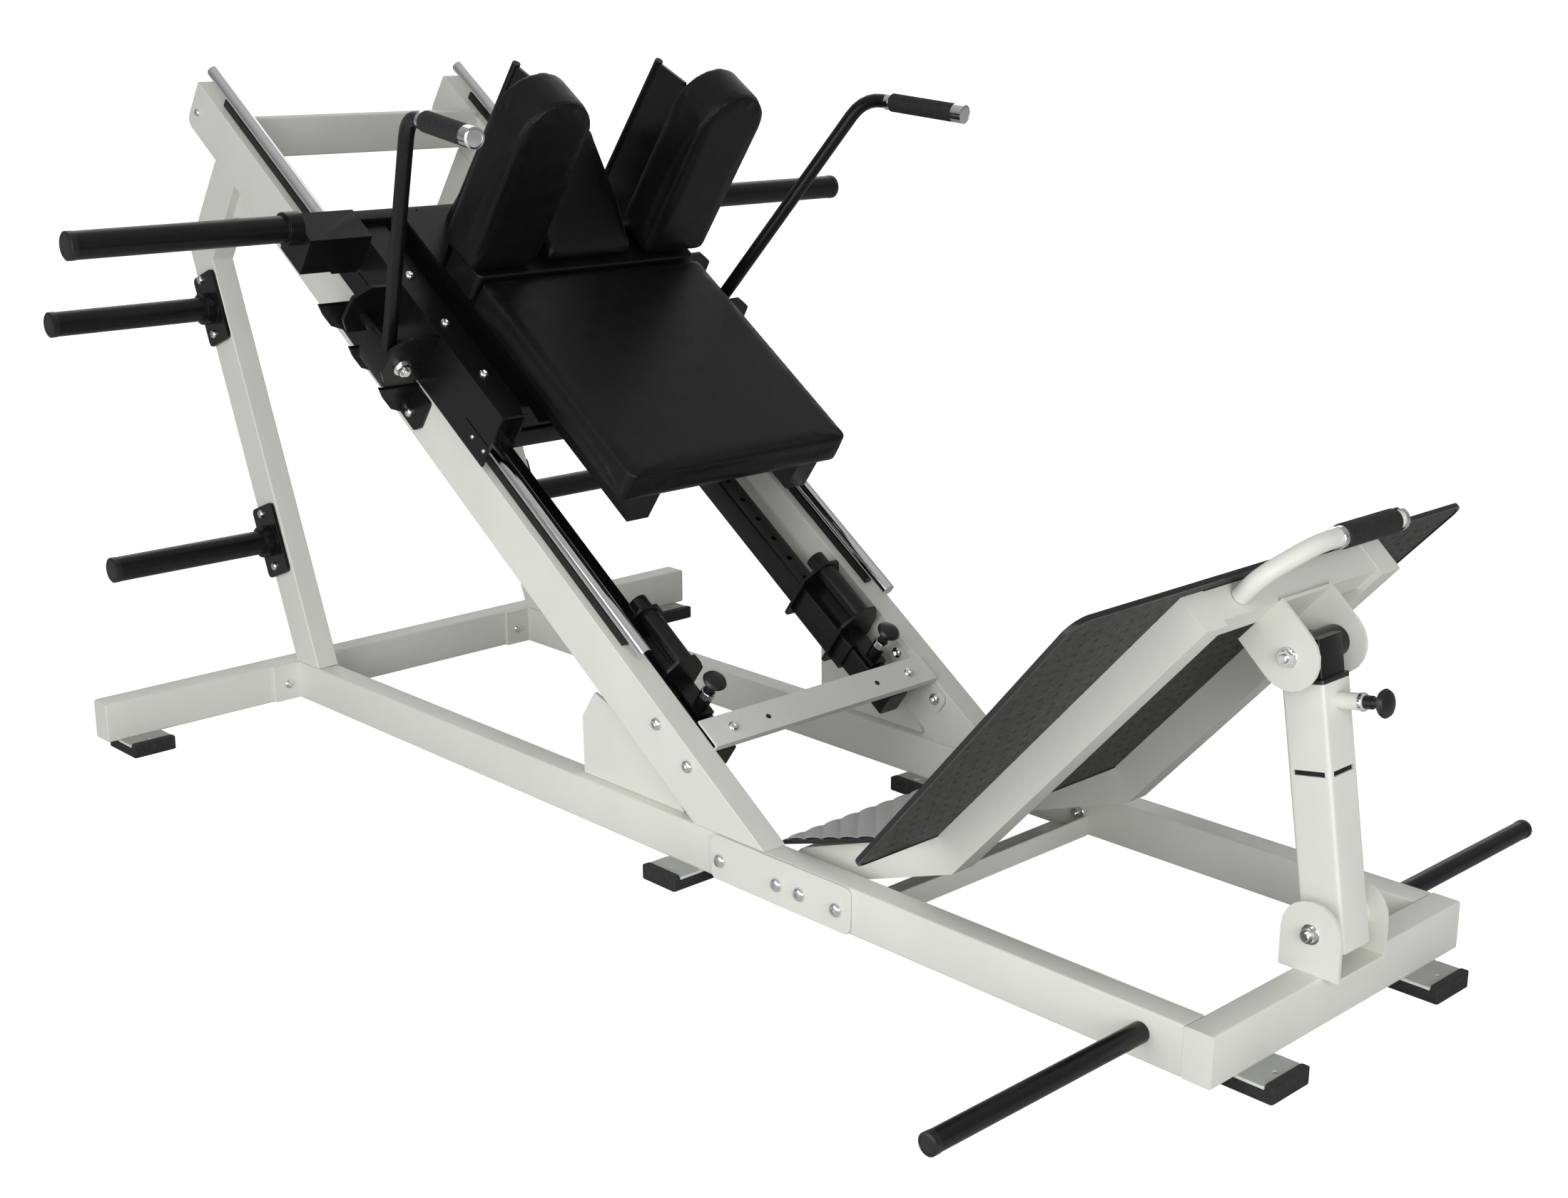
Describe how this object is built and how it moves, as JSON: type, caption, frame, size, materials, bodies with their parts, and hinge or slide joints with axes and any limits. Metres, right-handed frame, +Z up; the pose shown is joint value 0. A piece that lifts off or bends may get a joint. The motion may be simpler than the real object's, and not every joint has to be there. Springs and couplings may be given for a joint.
{
  "type": "hack squat machine",
  "caption": "Plate-loaded hack squat machine: inclined carriage with back and shoulder pads on guide rods, over a tilting footplate and a floor frame.",
  "frame": {"origin": "centre of the footprint, on the floor under the rubber shoes", "axes": "+X across the machine to its right as seen from the footplate, +Y from the footplate to the back of the frame, +Z up"},
  "size_m": [1.834, 2.726, 1.348],
  "materials": {
    "back_pad": "smooth black vinyl with a soft sheen",
    "band_peg_left": "satin black powder coat",
    "band_peg_right": "satin black powder coat",
    "bearing_block_left": "satin black powder coat",
    "bearing_block_right": "satin black powder coat",
    "carriage_frame": "satin black powder coat",
    "carriage_horn_left": "satin black powder coat",
    "carriage_horn_right": "satin black powder coat",
    "catch_rack_left": "satin black powder coat",
    "catch_rack_right": "satin black powder coat",
    "foot_front_left": "matte black rubber",
    "foot_front_right": "matte black rubber",
    "foot_middle_left": "matte black rubber",
    "foot_middle_right": "matte black rubber",
    "foot_rear_left": "matte black rubber",
    "foot_rear_right": "matte black rubber",
    "footplate_frame": "off-white powder coat, low gloss",
    "footplate_handle": "off-white powder coat, low gloss",
    "front_cross_tube": "off-white powder coat, low gloss",
    "front_rail_left": "off-white powder coat, low gloss",
    "front_rail_right": "off-white powder coat, low gloss",
    "guide_rod_left": "polished chrome plate",
    "guide_rod_right": "polished chrome plate",
    "heel_plate": "grey ribbed plate",
    "heel_rest_bar": "off-white powder coat, low gloss",
    "neck_pad": "smooth black vinyl with a soft sheen",
    "prop_inner_tube": "satin black powder coat",
    "prop_outer_tube": "off-white powder coat, low gloss",
    "prop_plunger": "satin black",
    "rear_crossbar": "off-white powder coat, low gloss",
    "rear_rail_left": "off-white powder coat, low gloss",
    "rear_rail_right": "off-white powder coat, low gloss",
    "rod_support_left": "satin black powder coat",
    "rod_support_right": "satin black powder coat",
    "safety_lever_left": "satin black powder coat",
    "safety_lever_right": "satin black powder coat",
    "shoulder_bracket_left": "satin black powder coat",
    "shoulder_bracket_right": "satin black powder coat",
    "shoulder_pad_left": "smooth black vinyl with a soft sheen",
    "shoulder_pad_right": "smooth black vinyl with a soft sheen",
    "slope_beam_left": "off-white powder coat, low gloss",
    "slope_beam_right": "off-white powder coat, low gloss",
    "splice_plate_left": "off-white powder coat, low gloss",
    "splice_plate_right": "off-white powder coat, low gloss",
    "stop_channel": "off-white powder coat, low gloss",
    "stop_plunger_left": "satin black",
    "stop_plunger_right": "satin black",
    "stop_post_left": "satin black powder coat",
    "stop_post_right": "satin black powder coat",
    "stop_sleeve_left": "satin black powder coat",
    "stop_sleeve_right": "satin black powder coat",
    "stop_strap": "off-white powder coat, low gloss",
    "storage_horn_lower_left": "satin black powder coat",
    "storage_horn_lower_right": "satin black powder coat",
    "storage_horn_upper_left": "satin black powder coat",
    "storage_horn_upper_right": "satin black powder coat",
    "top_crossbar": "off-white powder coat, low gloss",
    "tread_plate": "dark grey embossed plate",
    "upright_left": "off-white powder coat, low gloss",
    "upright_right": "off-white powder coat, low gloss"
  },
  "bodies": {
    "frame": {"band_peg_left": "band_peg_left", "band_peg_right": "band_peg_right", "catch_rack_left": "catch_rack_left", "catch_rack_right": "catch_rack_right", "foot_front_left": "foot_front_left", "foot_front_right": "foot_front_right", "foot_middle_left": "foot_middle_left", "foot_middle_right": "foot_middle_right", "foot_rear_left": "foot_rear_left", "foot_rear_right": "foot_rear_right", "front_cross_tube": "front_cross_tube", "front_rail_left": "front_rail_left", "front_rail_right": "front_rail_right", "guide_rod_left": "guide_rod_left", "guide_rod_right": "guide_rod_right", "heel_rest_bar": "heel_rest_bar", "rear_crossbar": "rear_crossbar", "rear_rail_left": "rear_rail_left", "rear_rail_right": "rear_rail_right", "rod_support_left": "rod_support_left", "rod_support_right": "rod_support_right", "slope_beam_left": "slope_beam_left", "slope_beam_right": "slope_beam_right", "splice_plate_left": "splice_plate_left", "splice_plate_right": "splice_plate_right", "stop_channel": "stop_channel", "stop_post_left": "stop_post_left", "stop_post_right": "stop_post_right", "stop_strap": "stop_strap", "storage_horn_lower_left": "storage_horn_lower_left", "storage_horn_lower_right": "storage_horn_lower_right", "storage_horn_upper_left": "storage_horn_upper_left", "storage_horn_upper_right": "storage_horn_upper_right", "top_crossbar": "top_crossbar", "upright_left": "upright_left", "upright_right": "upright_right"},
    "carriage": {"carriage_frame": "carriage_frame", "bearing_block_left": "bearing_block_left", "bearing_block_right": "bearing_block_right", "back_pad": "back_pad", "neck_pad": "neck_pad", "shoulder_pad_left": "shoulder_pad_left", "shoulder_pad_right": "shoulder_pad_right", "shoulder_bracket_left": "shoulder_bracket_left", "shoulder_bracket_right": "shoulder_bracket_right", "carriage_horn_left": "carriage_horn_left", "carriage_horn_right": "carriage_horn_right"},
    "lever_left": {"safety_lever_left": "safety_lever_left"},
    "lever_right": {"safety_lever_right": "safety_lever_right"},
    "stop_left": {"stop_sleeve_left": "stop_sleeve_left"},
    "stop_right": {"stop_sleeve_right": "stop_sleeve_right"},
    "stop_pin_left": {"stop_plunger_left": "stop_plunger_left"},
    "stop_pin_right": {"stop_plunger_right": "stop_plunger_right"},
    "footplate": {"footplate_frame": "footplate_frame", "tread_plate": "tread_plate", "heel_plate": "heel_plate", "footplate_handle": "footplate_handle"},
    "prop_sleeve": {"prop_outer_tube": "prop_outer_tube"},
    "prop_slider": {"prop_inner_tube": "prop_inner_tube"},
    "prop_pin": {"prop_plunger": "prop_plunger"}
  },
  "joints": [
    {"name": "carriage_slide", "type": "slide", "parent": "frame", "child": "carriage", "axis": [0, 0.8192, 0.5736], "range_m": [-0.4, 0.38]},
    {"name": "lever_left_swing", "type": "hinge", "parent": "carriage", "child": "lever_left", "pos_m": [-0.4, 0.54159, 0.86004], "axis": [0, -0.8192, -0.5736], "range_deg": [0, 30]},
    {"name": "lever_right_swing", "type": "hinge", "parent": "carriage", "child": "lever_right", "pos_m": [0.4, 0.54159, 0.86004], "axis": [0, 0.8192, 0.5736], "range_deg": [0, 30]},
    {"name": "stop_left_slide", "type": "slide", "parent": "frame", "child": "stop_left", "axis": [0, 0.8192, 0.5736], "range_m": [0, 0.2172]},
    {"name": "stop_right_slide", "type": "slide", "parent": "frame", "child": "stop_right", "axis": [0, 0.8192, 0.5736], "range_m": [0, 0.2172]},
    {"name": "stop_pin_left_pull", "type": "slide", "parent": "stop_left", "child": "stop_pin_left", "axis": [0, -0.5736, 0.8192], "range_m": [0, 0.012], "stiffness_N_per_m": 600, "springref_m": -0.006},
    {"name": "stop_pin_right_pull", "type": "slide", "parent": "stop_right", "child": "stop_pin_right", "axis": [0, -0.5736, 0.8192], "range_m": [0, 0.012], "stiffness_N_per_m": 600, "springref_m": -0.006},
    {"name": "footplate_tilt", "type": "hinge", "parent": "frame", "child": "footplate", "pos_m": [0, -0.43999, 0.066], "axis": [-1, 0, 0], "range_deg": [0, 7]},
    {"name": "prop_swing", "type": "hinge", "parent": "frame", "child": "prop_sleeve", "pos_m": [0, -1.28099, 0.164], "axis": [-1, 0, 0], "range_deg": [0, 7]},
    {"name": "prop_extend", "type": "slide", "parent": "prop_sleeve", "child": "prop_slider", "axis": [0, 0.1698, 0.9855], "range_m": [0, 0.105]},
    {"name": "prop_pin_pull", "type": "slide", "parent": "prop_sleeve", "child": "prop_pin", "axis": [0, -0.9855, 0.1698], "range_m": [0, 0.012], "stiffness_N_per_m": 600, "springref_m": -0.006}
  ],
  "couplings": [
    {"joint": "prop_swing", "follows": "footplate_tilt", "ratio": 0.8863},
    {"joint": "prop_extend", "follows": "footplate_tilt", "m_per_rad": 0.8454}
  ]
}
